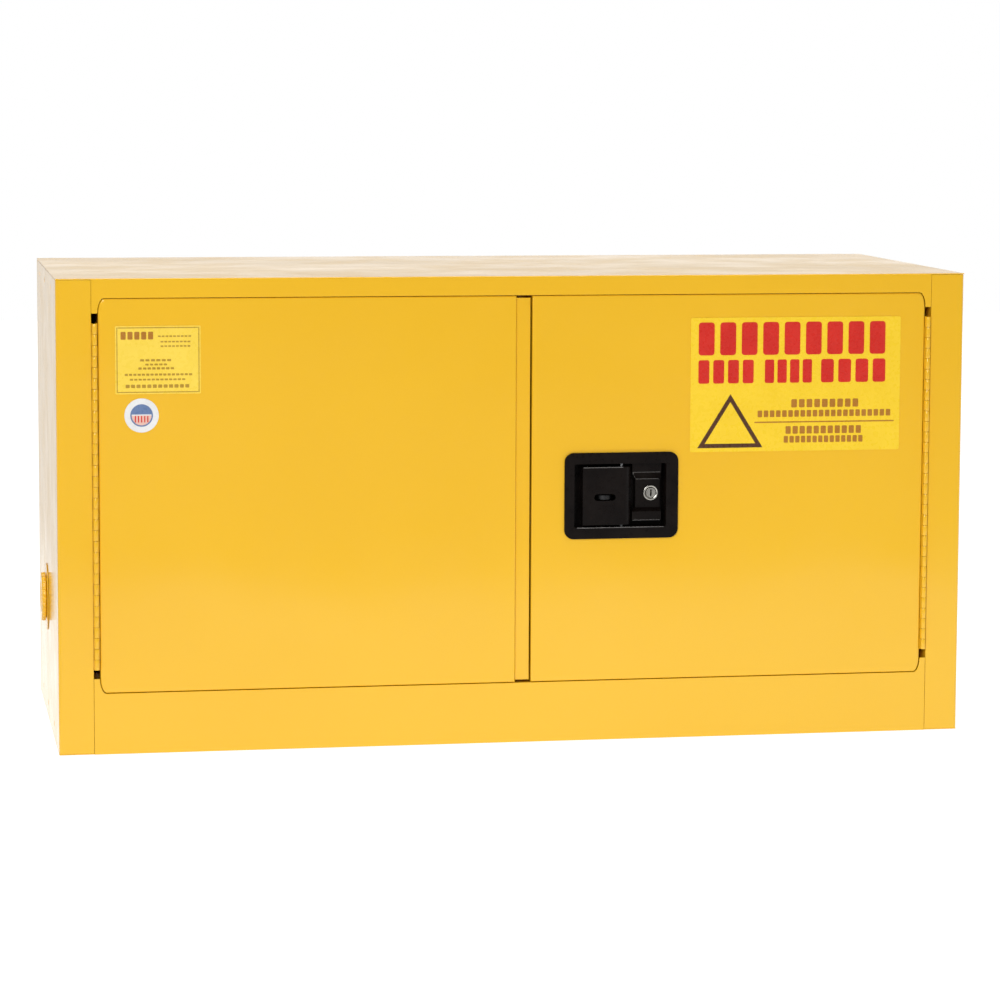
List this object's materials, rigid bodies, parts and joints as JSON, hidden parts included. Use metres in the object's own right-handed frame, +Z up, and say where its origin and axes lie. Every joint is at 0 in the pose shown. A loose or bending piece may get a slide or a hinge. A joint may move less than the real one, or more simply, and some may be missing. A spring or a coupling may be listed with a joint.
{
  "type": "flammable storage cabinet",
  "caption": "Bench-top double-walled steel cabinet for flammable liquids, with two hinged doors, a recessed paddle latch and key lock, a shelf and side vents.",
  "frame": {"origin": "under the middle of the cabinet, on the surface it stands on", "axes": "+Z up, +X to the right as seen by a person facing the doors, +Y from the doors to the back"},
  "size_m": [1.1074, 0.4612, 0.5588],
  "materials": {
    "yellow_paint": "gloss powder coat",
    "galvanised_steel": "galvanised",
    "zinc_steel": "zinc plated",
    "black_enamel": "satin black enamel",
    "black_steel": "black oxide",
    "chrome_lock": "polished",
    "brass_fittings": "plain brass",
    "front_label_face": "gloss vinyl",
    "white_label_face": "gloss vinyl"
  },
  "bodies": {
    "cabinet": {"outer_left_panel": "yellow_paint", "outer_right_panel": "yellow_paint", "outer_top_panel": "yellow_paint", "outer_back_panel": "yellow_paint", "outer_bottom_panel": "yellow_paint", "bottom_rail": "yellow_paint", "inner_left_panel": "yellow_paint", "inner_right_panel": "yellow_paint", "inner_top_panel": "yellow_paint", "inner_back_panel": "yellow_paint", "sill_pan": "yellow_paint", "left_shelf_bracket": "galvanised_steel", "right_shelf_bracket": "galvanised_steel", "left_frame_leaf": "yellow_paint", "left_hinge_pin": "yellow_paint", "right_frame_leaf": "yellow_paint", "right_hinge_pin": "yellow_paint", "left_vent_sleeve": "yellow_paint", "left_flame_screen": "brass_fittings", "right_vent_sleeve": "yellow_paint", "right_flame_screen": "brass_fittings", "ground_screw": "brass_fittings"},
    "left_door": {"left_door_pan": "yellow_paint", "left_door_inner_panel": "yellow_paint", "left_door_leaf": "yellow_paint", "centre_strip": "yellow_paint", "centre_strike": "zinc_steel", "small_label": "white_label_face", "round_sticker": "white_label_face"},
    "right_door": {"right_door_pan": "yellow_paint", "right_door_inner_panel": "yellow_paint", "right_door_leaf": "yellow_paint", "front_label": "front_label_face", "handle_tray": "black_enamel", "paddle_pin": "zinc_steel", "paddle_spring": "zinc_steel", "padlock_staple": "black_steel", "lock_body": "chrome_lock", "hub_stud": "zinc_steel", "upper_rod_guide": "zinc_steel", "lower_rod_guide": "zinc_steel"},
    "paddle": {"paddle": "black_enamel"},
    "lock_plug": {"key_plug": "chrome_lock", "lock_cam": "zinc_steel"},
    "latch_hub": {"latch_hub": "black_steel"},
    "upper_rod": {"upper_rod": "zinc_steel"},
    "lower_rod": {"lower_rod": "zinc_steel"},
    "centre_bolt": {"centre_bolt": "zinc_steel"},
    "shelf": {"shelf": "galvanised_steel"},
    "left_vent_bung": {"left_vent_bung": "yellow_paint"},
    "right_vent_bung": {"right_vent_bung": "yellow_paint"}
  },
  "joints": [
    {"name": "left_door_swing", "type": "hinge", "parent": "cabinet", "child": "left_door", "pos_m": [-0.5014, -0.22775, 0.3], "axis": [0, 0, -1], "range_deg": [0, 175]},
    {"name": "right_door_swing", "type": "hinge", "parent": "cabinet", "child": "right_door", "pos_m": [0.5014, -0.22775, 0.3], "axis": [0, 0, 1], "range_deg": [0, 175]},
    {"name": "paddle_pull", "type": "hinge", "parent": "right_door", "child": "paddle", "pos_m": [0.1262, -0.21685, 0.2957], "axis": [0, 0, 1], "range_deg": [0, 35], "stiffness_Nm_per_rad": 0.6, "springref_deg": -9.74},
    {"name": "key_turn", "type": "hinge", "parent": "right_door", "child": "lock_plug", "pos_m": [0.1623, -0.20655, 0.2971], "axis": [0, 1, 0], "range_deg": [0, 90]},
    {"name": "latch_turn", "type": "hinge", "parent": "right_door", "child": "latch_hub", "pos_m": [0.0939, -0.19755, 0.2957], "axis": [0, 1, 0], "range_deg": [0, 35]},
    {"name": "upper_rod_slide", "type": "slide", "parent": "right_door", "child": "upper_rod", "axis": [0, 0, 1], "range_m": [0, 0.0121]},
    {"name": "lower_rod_slide", "type": "slide", "parent": "right_door", "child": "lower_rod", "axis": [0, 0, -1], "range_m": [0, 0.0121]},
    {"name": "centre_bolt_slide", "type": "slide", "parent": "right_door", "child": "centre_bolt", "axis": [-1, 0, 0], "range_m": [0, 0.0121]},
    {"name": "shelf_lift", "type": "slide", "parent": "cabinet", "child": "shelf", "axis": [0, 0, 1], "range_m": [0, 0.12]},
    {"name": "left_bung_out", "type": "slide", "parent": "cabinet", "child": "left_vent_bung", "axis": [-1, 0, 0], "range_m": [0, 0.04]},
    {"name": "right_bung_out", "type": "slide", "parent": "cabinet", "child": "right_vent_bung", "axis": [1, 0, 0], "range_m": [0, 0.04]}
  ],
  "couplings": [
    {"joint": "upper_rod_slide", "follows": "latch_turn", "m_per_rad": 0.019644},
    {"joint": "lower_rod_slide", "follows": "latch_turn", "m_per_rad": 0.019644},
    {"joint": "centre_bolt_slide", "follows": "latch_turn", "m_per_rad": 0.019644}
  ]
}
